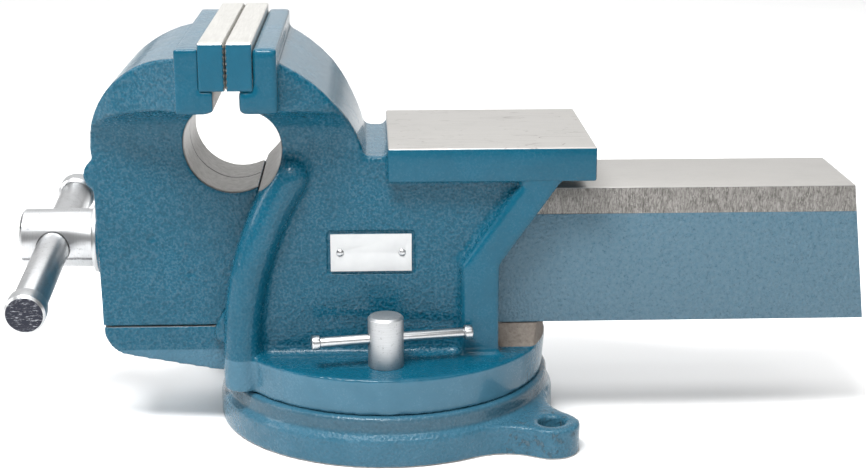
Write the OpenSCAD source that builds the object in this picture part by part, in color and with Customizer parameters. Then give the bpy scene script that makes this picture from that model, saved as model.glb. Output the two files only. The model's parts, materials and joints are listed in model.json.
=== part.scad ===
// Bench vise with a swivel base.
// Origin: on the swivel axis, on the bench.  +X points along the slide to the rear,
// +Z up, and Y across the jaws.  All sizes are in millimetres.

/* [Jaws] */
// Width of the jaws and of their plates
jaw_w = 150; // [120:1:190]
// Thickness of a jaw plate
plate_t = 13.1; // [9:0.1:16]
// Height of a jaw plate
plate_h = 24.1; // [20:0.1:32]
// Depth of the ledge that a plate stands on
plate_seat = 7; // [5:0.5:8]
// Thickness of a jaw block, behind its plate
block_back_t = 12; // [10:0.5:18]
// Height of the jaw block below its plate
block_lip_h = 11.8; // [8:0.1:16]
// How far a plate stands above its jaw block
plate_proud = 3.2; // [1:0.1:6]
// Gap between the two plates when the vise is closed
closed_gap = 0.3; // [0.3:0.1:1]
// Place of the jaws' meeting plane along the slide
jaw_face_x = -78.8; // [-95:0.1:-74]
// Distance between the two screws of a plate
plate_screw_pitch = 90; // [70:1:100]
// Diameter of a plate screw
plate_screw_d = 8; // [6:0.5:9]
// Radius of the round pipe opening under the jaws
throat_r = 25.5; // [20:0.5:31]
// How far a casting's head is set in from the jaw's ends
head_inset = 9; // [6:0.5:14]

/* [Moving jaw and slide] */
// Depth of the moving jaw's casting, in front of the meeting plane
front_depth = 74.5; // [66:0.5:95]
// Thickness of the moving jaw's front wall
front_wall = 16; // [12:0.5:20]
// Width of the slide
slide_w = 66.4; // [56:0.2:80]
// Height of the slide
slide_h = 74.4; // [68:0.2:90]
// Thickness of the slide's side walls
slide_wall = 11; // [8:0.5:13]
// Thickness of the slide's top wall
slide_roof = 15; // [10:0.5:16]
// Place of the slide's rear end, at its top edge
slide_end_x = 249.7; // [245:0.1:300]
// How far the slide's lower rear edge reaches past its top one
slide_end_slant = 8.7; // [0:0.1:12]
// Clearance round the slide in its guide
guide_gap = 0.3; // [0.2:0.1:0.5]
// How wide the jaws open
jaw_travel = 150; // [100:1:150]

/* [Body] */
// Radius of the round swivel plate, at its top
disc_r = 88.3; // [84:0.1:106]
// Thickness of the swivel plate
disc_h = 20.1; // [17:0.1:26]
// Inward draft of the swivel plate's rim
disc_draft = 1.7; // [0:0.1:2]
// Thickness of the guide's floor, above the swivel plate
floor_t = 11.9; // [9:0.1:16]
// Thickness of the guide's side walls
body_wall = 10.5; // [8:0.5:13]
// Place of the body's rear edge, below the anvil's strut
body_rear_x = 58.9; // [55:0.1:70]
// Width of the upright strip at the body's rear edge
strip_w = 18.5; // [14:0.5:22]
// How far the strips stand out from the side walls
strip_out = 7.6; // [5:0.1:9]
// Slope of the struts to the anvil, along over up
strut_slope = 0.707; // [0.5:0.01:0.8]
// Radius of the round ribs at the body's front
rib_r = 10.5; // [8:0.5:12]
// Length of the anvil
anvil_l = 107.7; // [90:0.1:125]
// Width of the anvil
anvil_w = 104.2; // [95:0.1:130]
// Thickness of the anvil's edge
anvil_t = 17.9; // [12:0.1:19]
// Height of the anvil's top above the slide's top
anvil_rise = 25.7; // [21:0.1:32]
// Place of the anvil's front edge
anvil_x = 0.9; // [0:0.1:12]
// How far the saddle behind the jaw lies below the anvil
saddle_drop = 5.5; // [3:0.1:8]

/* [Swivel base] */
// How far the base's flange stands out past the swivel plate
flange_step = 4.2; // [3:0.1:8]
// Thickness of the flange
flange_h = 16.3; // [12:0.1:20]
// Height of the base
base_h = 26.6; // [24:0.1:32]
// Distance of a bench bolt hole from the flange's edge
lug_reach = 17.9; // [16:0.1:24]
// Diameter of a bench bolt hole
lug_hole_d = 14; // [11:0.5:17]
// Radius of a lug's round end
lug_r = 15; // [13.5:0.1:18]
// Radius of the fillet between a lug and the flange
lug_fillet = 30; // [15:1:35]
// Direction of the first lug, from the slide's line
lug_angle = -39.1; // [-60:0.1:-30]
// Width of the ring slot
slot_w = 13; // [12.6:0.1:15]
// Width of the wide part below the ring slot
tee_w = 27; // [24:0.5:29]

/* [Spindle and handle] */
// Diameter of the spindle
spindle_d = 26; // [22:0.5:30]
// Diameter of the spindle's head
head_d = 32; // [30:0.5:38]
// Length of the spindle's head
head_l = 39; // [34:0.5:50]
// Height of the spindle's axis above the slide's lower edge
spindle_rise = 40.6; // [38:0.1:46]
// Diameter of the handle bar
bar_d = 17.5; // [12:0.5:19]
// Length of the handle, over its caps
handle_l = 171; // [150:1:210]
// Diameter of a handle cap
cap_d = 21; // [20.5:0.1:26]
// Length of a handle cap
cap_l = 11; // [7:0.5:13]
// Slope of the handle as it stands
handle_tilt = 7.5; // [0:0.5:30]
// How far the handle stands off centre, towards its low end
handle_shift = 12.5; // [0:0.5:30]

/* [Swivel locks] */
// Distance of a lock bolt from the side wall
lock_clear = 20.5; // [18:0.5:24]
// Diameter of a lock bolt's head
lock_head_d = 18.6; // [16:0.2:22]
// Height of a lock bolt's head
lock_head_h = 27; // [22:0.5:32]
// Diameter of a lock bolt's shank
lock_shank_d = 12; // [10:0.5:12]
// Height of the cross bar above the swivel plate
lock_bar_rise = 14.8; // [13:0.1:20]
// Diameter of a lock's cross bar
lock_bar_d = 5.4; // [4:0.1:6]
// Length of a lock's cross bar, over its caps
lock_bar_l = 85; // [70:1:86]
// Diameter of a cross bar's cap
lock_cap_d = 7.8; // [7.2:0.1:9]
// Length of a cross bar's cap
lock_cap_l = 4.5; // [3:0.5:6]
// Turn of the cross bars as they stand
lock_turn = 10; // [0:1:10]
// How far a cross bar stands off centre
lock_shift = 3.5; // [0:0.5:5]

/* [Small parts] */
// Diameter of the pivot bolt
pivot_d = 16; // [12:0.5:18]
// Diameter of the screws that hold the spindle nut
nut_screw_d = 10; // [8:0.5:11]
// Width of the name plate
label_w = 42.5; // [30:0.5:50]
// Height of the name plate
label_h = 20; // [14:0.5:26]
// Thickness of the name plate
label_t = 0.8; // [0.5:0.1:1.2]

/* [Hidden] */
$fn = 72;

paint = "#2d6480";
steel = "#c8c8c6";
bare = "#c4c0b8";

// Fits
run_fit = 0.06;    // radial clearance of a turning or threaded fit
press_fit = 0.02;  // radial clearance of a piece that is pressed on
loose_fit = 0.35;  // radial clearance of a loose hole
over = 1;          // how far a cut runs past the face that it opens

// Heights
disc_z = base_h;
disc_top = disc_z + disc_h;
floor_z = disc_top + floor_t;
slide_z = floor_z + guide_gap;
slide_top = slide_z + slide_h;
throat_cut = 0.8;   // how far the throat dips into the slide's top
throat_z = slide_top - throat_cut + throat_r;
lip_cut = 1.9;      // how far the throat rises past the jaw blocks' underside
block_z = throat_z + throat_r - lip_cut;
plate_z = block_z + block_lip_h;
jaw_top = plate_z + plate_h;
block_top = jaw_top - plate_proud;
head_top = block_top - 6;
anvil_top = slide_top + anvil_rise;
anvil_z = anvil_top - anvil_t;
saddle_z = anvil_top - saddle_drop;
spindle_z = slide_z + spindle_rise;

// Places across
guide_y = slide_w / 2 + guide_gap;
panel_y = guide_y + body_wall;
strip_y = panel_y + strip_out;
lock_r = panel_y + lock_clear;
block_y = jaw_w / 2 - 0.5;
head_y = jaw_w / 2 - head_inset;

// Places along
lip_back = 12.3;    // how far the body's lip lies behind the meeting plane
throat_x = jaw_face_x - 0.7;
lip_x = jaw_face_x + lip_back;
fixed_face_x = jaw_face_x + closed_gap / 2;
moving_face_x = jaw_face_x - closed_gap / 2;
fixed_back_x = fixed_face_x + plate_t + block_back_t;
moving_back_x = moving_face_x - plate_t - block_back_t;
front_x = jaw_face_x - front_depth;
front_boss = 2.5;   // height of the turned boss on the jaw's front
bearing_x = front_x - front_boss;
washer_t = 2.5;
head_x = bearing_x - washer_t;
handle_x = head_x - 0.54 * head_l;
channel_x = front_x + front_wall;
channel_y = slide_w / 2 - slide_wall;
channel_top = slide_top - slide_roof;
rear_x = slide_end_x + slide_end_slant;

// Round front ribs: an arc that stands upright on the swivel plate's rim
rib_foot = [-sqrt(disc_r * disc_r - panel_y * panel_y), disc_top + 2.7];
rib_top = [jaw_face_x + 29, throat_z - 15];
rib_step = rib_top - rib_foot;
rib_arc_r = (rib_step * rib_step) / (2 * rib_step[0]);
rib_centre = [rib_foot[0] + rib_arc_r, rib_foot[1]];
rib_sweep = asin(rib_step[1] / rib_arc_r);
wall_arc_r = rib_arc_r + rib_r - 2.5;

// Struts from the rear strips up to the anvil
strut_h = 45.5;

// Small parts
pivot_nut_h = pivot_d * 0.8;
screw_sunk = 0.6;   // how far a plate screw's head lies below the plate's face
collar_l = 12;
collar_x = channel_x + guide_gap;
pin_r = 2.5;        // of the collar's pin
rivet_r = 1.2;      // of the name plate
label_x = -8.2;     // middle of the name plate
label_z = anvil_z - 39.2;

// Back of the fixed jaw: a long arc from the block down to the saddle
slope_top = [fixed_back_x - 1, head_top - 2];
slope_foot = [anvil_x - 12, saddle_z];

// Swivel base
flange_r = disc_r + flange_step;
lug_pitch_r = flange_r + lug_reach;
tee_z = 7;
tee_top = 17;
plate_under_z = 12;   // underside of the base's middle
hollow_r = 44;        // radius of the hollow under the middle

// Nut of the spindle
nut_x = 26;
nut_l = 44;
nut_r = 17;
nut_screw_edge = 12;
nut_screw_head_h = 10;
nut_screw_depth = 16;

// Points of the arc of radius r from a to b that bulges to the left of the way
function arc(a, b, r, n = 12) =
    let (d = b - a, l = norm(d), c = (a + b) / 2 + [d[1], -d[0]] * sqrt(r * r - l * l / 4) / l,
         start = atan2(a[1] - c[1], a[0] - c[0]), sweep = 2 * asin(l / (2 * r)))
    [for (i = [0 : n]) c + r * [cos(start - sweep * i / n), sin(start - sweep * i / n)]];

// The same with a radius that is a share of the distance between the two points
function bend(a, b, share, n = 12) = arc(a, b, share * norm(b - a), n);

// An outline in X and Z, drawn out across Y between two places
module across(y0, y1) {
    translate([0, y1, 0]) rotate([90, 0, 0]) linear_extrude(y1 - y0) children();
}

// An outline in Y and Z, drawn out along X between two places
module along(x0, x1) {
    translate([x0, 0, 0]) rotate([90, 0, 90]) linear_extrude(x1 - x0) children();
}

// A box between two corners
module box(low, high) {
    translate(low) cube(high - low);
}

// A round bar along X, from the place x0
module rod_x(x0, l, r) {
    translate([x0, 0, 0]) rotate([0, 90, 0]) cylinder(h = l, r = r);
}

// Both sides of a piece that is drawn on the side of positive Y
module both_sides() {
    children();
    mirror([0, 1, 0]) children();
}

// The hollow under a jaw head, from the casting's side wall at y to past the jaw's end
module scoop(x0, x1, y, r, z_low) {
    edge = [y + r, block_z - 0.6];
    foot = [y, edge[1] - r];
    turned = arc(foot, edge, r);
    both_sides() along(x0, x1)
        polygon(concat([[y, z_low]], turned, [[jaw_w, edge[1]], [jaw_w, z_low]]));
}

module throat() {
    translate([throat_x, jaw_w, throat_z]) rotate([90, 0, 0]) cylinder(h = 2 * jaw_w, r = throat_r);
}

// One turned copy of the children for each plate screw, along X
module at_plate_screws() {
    for (side = [-1, 1])
        translate([0, side * plate_screw_pitch / 2, (plate_z + jaw_top) / 2]) children();
}

module base_lug() {
    reach = lug_pitch_r;
    inner = flange_r + lug_fillet;
    near = lug_r + lug_fillet;
    turn = acos((inner * inner + reach * reach - near * near) / (2 * inner * reach));
    corner = inner * [cos(turn), sin(turn)];
    from_hole = corner - [reach, 0];
    rim = flange_r * [cos(turn), sin(turn)];
    meet = [reach, 0] + from_hole * lug_r / near;
    lean = atan2(from_hole[1], from_hole[0]);
    hollow = arc(meet, rim, lug_fillet);
    steps = 14;
    end = [for (i = [1 : steps - 1])
        [reach, 0] + lug_r * [cos(-lean + 2 * lean * i / steps), sin(-lean + 2 * lean * i / steps)]];
    mirrored = [for (i = [len(hollow) - 1 : -1 : 0]) [hollow[i][0], -hollow[i][1]]];
    inside = [flange_r - 12, 0];
    linear_extrude(flange_h) polygon(concat([inside], mirrored, end, hollow));
}

module swivel_base() {
    neck_r = flange_r - 3;
    color(paint) difference() {
        union() {
            rotate_extrude() polygon([
                [0, plate_under_z], [hollow_r, plate_under_z], [hollow_r, 0],
                [flange_r - 1, 0], [flange_r, 1], [flange_r, flange_h - 1.5],
                [flange_r - 1.5, flange_h], [neck_r + 1.5, flange_h + 0.5], [neck_r, flange_h + 2],
                [neck_r, base_h - 1.5], [neck_r - 1.5, base_h], [0, base_h]]);
            for (a = [0, 180]) rotate(lug_angle + a) base_lug();
        }
        for (a = [0, 180]) rotate(lug_angle + a) translate([lug_pitch_r, 0, -over])
            cylinder(h = flange_h + 2 * over, r = lug_hole_d / 2);
        translate([0, 0, plate_under_z - over])
            cylinder(h = base_h, r = pivot_d / 2 + run_fit);
        // Ring slot with its wide part, and the gate where a tee nut goes in
        rotate_extrude() polygon([
            [lock_r - slot_w / 2, base_h + over], [lock_r - slot_w / 2, tee_top],
            [lock_r - tee_w / 2, tee_top], [lock_r - tee_w / 2, tee_z],
            [lock_r + tee_w / 2, tee_z], [lock_r + tee_w / 2, tee_top],
            [lock_r + slot_w / 2, tee_top], [lock_r + slot_w / 2, base_h + over]]);
        rotate(180) box([lock_r - tee_w / 2 + 1, -18, tee_z + 1],
            [lock_r + tee_w / 2 - 3, 18, base_h + over]);
    }
}

module pivot_bolt() {
    head_h = 8.5;
    end_z = floor_z + washer_t + pivot_nut_h + 3;
    color(steel) {
        translate([0, 0, plate_under_z - head_h]) cylinder(h = head_h, r = pivot_d * 0.866, $fn = 6);
        translate([0, 0, plate_under_z - 0.5])
            cylinder(h = end_z - plate_under_z - 1, r = pivot_d / 2);
        translate([0, 0, end_z - 1.5]) cylinder(h = 1.5, r1 = pivot_d / 2, r2 = pivot_d / 2 - 1.5);
    }
}

module pivot_washer() {
    color(steel) translate([0, 0, floor_z]) difference() {
        cylinder(h = washer_t, r = pivot_d * 0.94);
        translate([0, 0, -over]) cylinder(h = washer_t + 2 * over, r = pivot_d / 2 + loose_fit);
    }
}

module pivot_nut() {
    color(steel) translate([0, 0, floor_z + washer_t]) difference() {
        cylinder(h = pivot_nut_h, r = pivot_d * 0.866, $fn = 6);
        translate([0, 0, -over])
            cylinder(h = pivot_nut_h + 2 * over, r = pivot_d / 2 + press_fit);
    }
}

// Side outline of the body's walls, from the swivel plate to the saddle
module wall_outline() {
    lip_z = rib_centre[1] + sqrt(pow(wall_arc_r, 2) - pow(rib_centre[0] - lip_x, 2));
    foot = [rib_centre[0] - wall_arc_r, rib_centre[1]];
    knee_z = anvil_z - strut_h;
    strut_x = body_rear_x + (anvil_z + 2 - knee_z) * strut_slope;
    polygon(concat(
        [[foot[0] + 2, disc_top - 8]],
        arc(foot, [lip_x, lip_z], wall_arc_r),
        [[lip_x, block_z + 5], [fixed_back_x, block_z + 5]],
        saddle_points(),
        [[anvil_x + 4, anvil_z + 6], [strut_x, anvil_z + 2], [body_rear_x, knee_z],
         [body_rear_x, disc_top - 8]]));
}

// Back of the walls: a long arc from the jaw block down to the saddle
function saddle_points() = concat(
    bend([fixed_back_x, block_z + 5], slope_foot, 1.67),
    [[anvil_x - 4, saddle_z - 0.5], [anvil_x + 4, saddle_z]]);

module fixed_head() {
    waist_x = fixed_back_x + 25.5;
    tail_x = fixed_back_x + 45.5;
    difference() {
        intersection() {
            across(-head_y, head_y) polygon(concat(
                [[jaw_face_x + 6, throat_z], [jaw_face_x + 6, head_top]],
                [[fixed_back_x - 1, head_top]],
                bend(slope_top, slope_foot, 1.155, 16),
                [[slope_foot[0], throat_z - 30]]));
            linear_extrude(2 * jaw_top) polygon([
                [jaw_face_x, -head_y], [fixed_back_x, -head_y], [waist_x, 6 - head_y],
                [tail_x, 4 - panel_y], [tail_x, panel_y - 4], [waist_x, head_y - 6],
                [fixed_back_x, head_y], [jaw_face_x, head_y]]);
        }
        scoop(jaw_face_x - 5, anvil_x + 5, panel_y, 24, throat_z - 60);
    }
}

// A jaw block; dir is 1 for the fixed jaw and -1 for the moving one
module jaw_block(face_x, dir) {
    low = face_x + dir * (plate_t - plate_seat);
    back = face_x + dir * (plate_t + block_back_t);
    box([min(low, back), -block_y, block_z], [max(low, back), block_y, block_top]);
}

// The seat that a plate fills in its jaw
module plate_space(face_x, dir) {
    seat = face_x + dir * plate_t;
    box([min(face_x, seat), -jaw_w, plate_z], [max(face_x, seat), jaw_w, jaw_top + over]);
}

// Section of the strip on the side of positive Y, measured back from the body's rear edge:
// straight outside, drafted at the front; squeeze narrows it along X
module strip_section(squeeze = 1) {
    inner = guide_y + 5;
    draft = (strip_y - inner) * 0.47;
    polygon([[-(strip_w + draft) * squeeze, inner], [-strip_w * squeeze, strip_y],
        [0, strip_y], [0, inner]]);
}

// The strip and the strut above it, which leans back to the anvil and is a hair wider, so
// that no edge of the one nearly meets an edge of the other
module strip_and_strut() {
    knee_z = anvil_z - strut_h;
    lean = atan(strut_slope);
    translate([body_rear_x, 0, disc_top - 3]) linear_extrude(knee_z - disc_top + 3) strip_section();
    intersection() {
        box([0, 0, knee_z], [rear_x, anvil_w, anvil_z + 1]);
        translate([body_rear_x, 0, knee_z]) rotate([0, lean, 0]) translate([0, 0, -strut_h])
            linear_extrude(3 * strut_h) strip_section(cos(lean) * 1.004);
    }
}

// A round front rib on the side of positive Y, bent along its arc.  The steps between its
// three stretches are too small to see, and keep their surfaces from being tangent.
module front_rib() {
    step = 0.2;
    translate([0, panel_y - 0.5, 0]) {
        translate([rib_centre[0], 0, rib_centre[1]]) rotate([90, 0, 0])
            rotate([0, 0, 180 - rib_sweep]) rotate_extrude(angle = rib_sweep)
            translate([rib_arc_r, 0]) circle(r = rib_r);
        translate([rib_top[0], 0, rib_top[1]]) sphere(r = rib_r - step);
        translate([rib_foot[0], 0, disc_z + 1.5])
            cylinder(h = rib_foot[1] - disc_z - 1.5, r = rib_r + step);
    }
}

// The guide's floor in front of the swivel plate, below the moving jaw
module chin() {
    nose = front_x + 1.5;
    round_r = 16;
    back = rib_foot[0] + 16.5;
    across(-slide_w / 2, slide_w / 2) polygon(concat(
        [[back, disc_z + 4], [back - 30, disc_top - 13.5], [nose + 24, disc_top - 6.6]],
        arc([nose + 11, disc_top - 4], [nose, floor_z], round_r, 8),
        [[back, floor_z]]));
}

module rear_floor() {
    intersection() {
        along(body_rear_x - 10, disc_r) polygon([
            [-panel_y + 5, disc_top - 3], [-guide_y, floor_z],
            [guide_y, floor_z], [panel_y - 5, disc_top - 3]]);
        cylinder(h = 2 * floor_z, r = disc_r - 1);
    }
}

module guide_foot() {
    both_sides() across(guide_y, guide_y + 5) polygon([
        [rib_foot[0] - 15.5, floor_z], [rib_foot[0] - 11.5, floor_z + 8.4],
        [rib_foot[0], floor_z + 16], [rib_foot[0], floor_z - 15], [rib_foot[0] - 15.5, floor_z - 6]]);
}

module vise_body() {
    color(paint) difference() {
        union() {
            translate([0, 0, disc_z])
                cylinder(h = disc_h, r1 = disc_r - disc_draft, r2 = disc_r);
            across(-panel_y, panel_y) wall_outline();
            chin();
            rear_floor();
            guide_foot();
            fixed_head();
            jaw_block(fixed_face_x, 1);
            box([anvil_x, -anvil_w / 2, anvil_z], [anvil_x + anvil_l, anvil_w / 2, anvil_top]);
            both_sides() front_rib();
            both_sides() strip_and_strut();
        }
        // Guide for the slide
        box([front_x - 10, -guide_y, floor_z], [rear_x, guide_y, slide_top + guide_gap]);
        throat();
        plate_space(fixed_face_x, 1);
        translate([0, 0, -over]) cylinder(h = disc_top + 20, r = pivot_d / 2 + run_fit);
        at_lock_bolts() translate([0, 0, -disc_h - over])
            cylinder(h = disc_h + 2 * over, r = lock_shank_d / 2 + loose_fit);
        at_nut_screws() {
            translate([0, 0, disc_z - over]) cylinder(h = floor_z, r = nut_screw_d / 2 + loose_fit);
            translate([0, 0, disc_z - over])
                cylinder(h = nut_screw_head_h + 1 + over, r = nut_screw_d * 0.75 + loose_fit);
        }
        at_plate_screws() rod_x(fixed_face_x, plate_t + 10.5, plate_screw_d / 2 + run_fit);
        at_rivets() translate([0, 0, -5]) cylinder(h = 6, r = rivet_r + press_fit, $fn = 24);
    }
}

// The two lock bolts, near and far, at the swivel plate's top
module at_lock_bolts() {
    for (side = [-1, 1]) translate([-1, side * lock_r, disc_top]) children();
}

module at_nut_screws() {
    for (x = [nut_x + nut_screw_edge, nut_x + nut_l - nut_screw_edge])
        translate([x, 0, 0]) children();
}

// The drilled faces of a plate with its screw holes; dir points into the casting
module plate_solid(face_x, dir) {
    color(bare) difference() {
        box([min(face_x, face_x + dir * plate_t), -jaw_w / 2, plate_z],
            [max(face_x, face_x + dir * plate_t), jaw_w / 2, jaw_top]);
        at_plate_screws() translate([face_x, 0, 0]) rotate([0, dir * 90, 0]) {
            translate([0, 0, -over]) cylinder(h = plate_t + 2 * over, r = plate_screw_d / 2 + loose_fit);
            translate([0, 0, -over])
                cylinder(h = over + screw_sunk, r = plate_screw_d + loose_fit);
            translate([0, 0, screw_sunk]) cylinder(h = plate_screw_d / 2,
                r1 = plate_screw_d + loose_fit, r2 = plate_screw_d / 2 + loose_fit);
        }
    }
}

// Countersunk screws with hexagon sockets
module plate_screws(face_x, dir) {
    color(steel) at_plate_screws() translate([face_x + dir * screw_sunk, 0, 0])
        rotate([0, dir * 90, 0]) difference() {
            union() {
                cylinder(h = plate_screw_d / 2, r1 = plate_screw_d, r2 = plate_screw_d / 2);
                cylinder(h = plate_t + 9, r = plate_screw_d / 2);
            }
            translate([0, 0, -over]) cylinder(h = 3.5 + over, r = plate_screw_d * 0.36, $fn = 6);
        }
}

module fixed_jaw_plate() { plate_solid(fixed_face_x, 1); }
module moving_jaw_plate() { plate_solid(moving_face_x, -1); }
module fixed_plate_screws() { plate_screws(fixed_face_x, 1); }
module moving_plate_screws() { plate_screws(moving_face_x, -1); }

module spindle_nut() {
    color("#8a8378") difference() {
        union() {
            translate([0, 0, spindle_z]) rod_x(nut_x, nut_l, nut_r);
            box([nut_x, -nut_r, floor_z], [nut_x + nut_l, nut_r, spindle_z]);
        }
        translate([0, 0, spindle_z]) rod_x(nut_x - over, nut_l + 2 * over, spindle_d / 2 + run_fit);
        at_nut_screws() translate([0, 0, floor_z - over])
            cylinder(h = nut_screw_depth + over, r = nut_screw_d / 2 + press_fit);
    }
}

module nut_screws() {
    head_z = disc_z + 1;
    color(steel) at_nut_screws() difference() {
        union() {
            translate([0, 0, head_z]) cylinder(h = nut_screw_head_h, r = nut_screw_d * 0.75);
            translate([0, 0, head_z])
                cylinder(h = floor_z + nut_screw_depth - 2 - head_z, r = nut_screw_d / 2);
        }
        translate([0, 0, head_z - over])
            cylinder(h = nut_screw_head_h / 2 + over, r = nut_screw_d * 0.46, $fn = 6);
    }
}

// A piece of the ring slot's own section, so that it slides round the slot
module tee_nut(side) {
    gap = 0.4;
    half_angle = 12;
    color(steel) difference() {
        intersection() {
            rotate_extrude() polygon([
                [lock_r - tee_w / 2 + gap, tee_z + gap], [lock_r + tee_w / 2 - gap, tee_z + gap],
                [lock_r + tee_w / 2 - gap, tee_top - gap], [lock_r + slot_w / 2 - gap, tee_top - gap],
                [lock_r + slot_w / 2 - gap, base_h - 2], [lock_r - slot_w / 2 + gap, base_h - 2],
                [lock_r - slot_w / 2 + gap, tee_top - gap], [lock_r - tee_w / 2 + gap, tee_top - gap]]);
            rotate(side * 90 - side * 1) linear_extrude(base_h) polygon([[0, 0],
                2 * lock_r * [cos(half_angle), sin(half_angle)],
                2 * lock_r * [cos(half_angle), -sin(half_angle)]]);
        }
        translate([-1, side * lock_r, 0])
            cylinder(h = base_h, r = lock_shank_d / 2 + run_fit);
    }
}

module tee_nut_near() { tee_nut(-1); }
module tee_nut_far() { tee_nut(1); }

// The two rivets of the name plate, with Z pointing out of the near side wall
module at_rivets() {
    inset = 5;
    for (x = [-label_w / 2 + inset, label_w / 2 - inset])
        translate([label_x + x, -panel_y, label_z]) rotate([90, 0, 0]) children();
}

module label_plate() {
    color("white") difference() {
        box([label_x - label_w / 2, -panel_y - label_t, label_z - label_h / 2],
            [label_x + label_w / 2, -panel_y, label_z + label_h / 2]);
        at_rivets() translate([0, 0, -over])
            cylinder(h = label_t + 2 * over, r = rivet_r + press_fit, $fn = 24);
    }
}

module label_rivets() {
    color(steel) at_rivets() {
        translate([0, 0, label_t]) intersection() {
            translate([0, 0, -1.6]) sphere(r = 2.6, $fn = 32);
            cylinder(h = 2, r = 3, $fn = 32);
        }
        translate([0, 0, -4.5]) cylinder(h = 4.5 + label_t + 0.2, r = rivet_r, $fn = 24);
    }
}

// Side outline of the moving jaw's middle, from the slide's lower edge to the head
module front_outline() {
    back = moving_face_x - plate_t + plate_seat;
    polygon(concat(
        [[front_x + 1.5, slide_z]],
        bend([front_x, throat_z - 8], [moving_back_x, head_top], 0.684, 16),
        [[back, head_top], [back, throat_z], [lip_x - closed_gap - 0.2, slide_top + 3.4],
         [lip_x - closed_gap - 0.2, slide_z]]));
}

module moving_head() {
    back = moving_face_x - plate_t + plate_seat;
    difference() {
        intersection() {
            across(-head_y, head_y) polygon(concat(
                [[front_x + 0.1, throat_z - 30]],
                bend([front_x + 0.1, throat_z - 8], [moving_back_x, head_top], 0.684, 16),
                [[back, head_top], [back, throat_z - 30]]));
            linear_extrude(2 * jaw_top) polygon([
                [back + 1, -head_y], [moving_back_x, -head_y], [moving_back_x - 20, 12 - head_y],
                [front_x + 14, 18 - head_y], [front_x - 1, -slide_w / 2 - 4],
                [front_x - 1, slide_w / 2 + 4], [front_x + 14, head_y - 18],
                [moving_back_x - 20, head_y - 12], [moving_back_x, head_y], [back + 1, head_y]]);
        }
        scoop(front_x - 10, jaw_face_x + 5, slide_w / 2, 30, throat_z - 60);
    }
}

module slide() {
    box([channel_x - 5, -slide_w / 2, slide_z], [rear_x, slide_w / 2, slide_top]);
}

module moving_jaw() {
    ridge_r = 9;
    color(paint) difference() {
        union() {
            across(-slide_w / 2, slide_w / 2) front_outline();
            moving_head();
            jaw_block(moving_face_x, -1);
            slide();
            translate([front_x + 4, slide_w / 2 - 1, slide_top + 8.2]) rotate([90, 0, 0])
                cylinder(h = slide_w - 2, r = ridge_r);
            translate([0, 0, spindle_z]) rod_x(bearing_x, front_boss + 5, head_d / 2 + 6);
        }
        throat();
        plate_space(moving_face_x, -1);
        box([channel_x, -channel_y, slide_z - over], [rear_x + over, channel_y, channel_top]);
        // Slanted rear end
        across(-slide_w, slide_w) polygon([
            [slide_end_x, slide_top + over], [slide_end_x, slide_top],
            [rear_x, slide_z], [rear_x, slide_z - over],
            [rear_x + 10, slide_z - over], [rear_x + 10, slide_top + over]]);
        translate([0, 0, spindle_z])
            rod_x(front_x - 20, front_wall + 30, spindle_d / 2 + run_fit);
        at_plate_screws() rod_x(moving_face_x - plate_t - 10.5, plate_t + 10.5,
            plate_screw_d / 2 + run_fit);
    }
}

module spindle() {
    end_x = nut_x + nut_l + jaw_travel + 5;
    edge = 1.5;
    color(steel) translate([0, 0, spindle_z]) difference() {
        union() {
            rod_x(head_x - head_l + edge, head_l - edge, head_d / 2);
            translate([head_x - head_l, 0, 0]) rotate([0, 90, 0])
                cylinder(h = edge, r1 = head_d / 2 - edge, r2 = head_d / 2);
            rod_x(head_x - 1, end_x - 3 - head_x + 1, spindle_d / 2);
            translate([end_x - 3, 0, 0]) rotate([0, 90, 0])
                cylinder(h = 3, r1 = spindle_d / 2, r2 = spindle_d / 2 - 3);
        }
        translate([handle_x, 0, 0]) rotate([90 + handle_tilt, 0, 0])
            translate([0, 0, -head_d]) cylinder(h = 2 * head_d, r = bar_d / 2 + 0.4);
        translate([collar_x + collar_l / 2, 0, -head_d])
            cylinder(h = 2 * head_d, r = pin_r + press_fit, $fn = 32);
    }
}

module thrust_washer() {
    color(steel) translate([0, 0, spindle_z]) difference() {
        rod_x(head_x, washer_t, head_d / 2 + 3);
        rod_x(head_x - over, washer_t + 2 * over, spindle_d / 2 + run_fit);
    }
}

module spindle_collar() {
    color(steel) translate([0, 0, spindle_z]) difference() {
        rod_x(collar_x, collar_l, spindle_d / 2 + 5);
        rod_x(collar_x - over, collar_l + 2 * over, spindle_d / 2 + press_fit);
        translate([collar_x + collar_l / 2, 0, -head_d])
            cylinder(h = 2 * head_d, r = pin_r + press_fit, $fn = 32);
    }
}

module collar_pin() {
    l = spindle_d + 9;
    color(steel) translate([collar_x + collar_l / 2, 0, spindle_z - l / 2])
        cylinder(h = l, r = pin_r, $fn = 32);
}

// Places its children in the handle's line, with Z along the bar to its high end
module at_handle() {
    translate([handle_x, 0, spindle_z]) rotate([handle_tilt - 90, 0, 0])
        translate([0, 0, -handle_shift]) children();
}

// A bar's cap, its mouth at z = 0 and its round end outwards along Z
module bar_cap(r, l, hole_r, hole_l) {
    edge = r * 0.14;
    difference() {
        union() {
            cylinder(h = edge, r1 = r - edge, r2 = r);
            translate([0, 0, edge]) cylinder(h = l - 2 * edge, r = r);
            translate([0, 0, l - edge]) cylinder(h = edge, r1 = r, r2 = r - edge);
        }
        translate([0, 0, -over]) cylinder(h = hole_l + over, r = hole_r);
    }
}

module handle_bar() {
    l = handle_l - 3;
    color(steel) at_handle() translate([0, 0, -l / 2]) cylinder(h = l, r = bar_d / 2);
}

module handle_cap(dir) {
    color(steel) at_handle() mirror([0, 0, dir < 0 ? 1 : 0])
        translate([0, 0, handle_l / 2 - cap_l])
        bar_cap(cap_d / 2, cap_l, bar_d / 2 + press_fit, cap_l - 1.5);
}

module handle_cap_near() { handle_cap(-1); }
module handle_cap_far() { handle_cap(1); }

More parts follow.
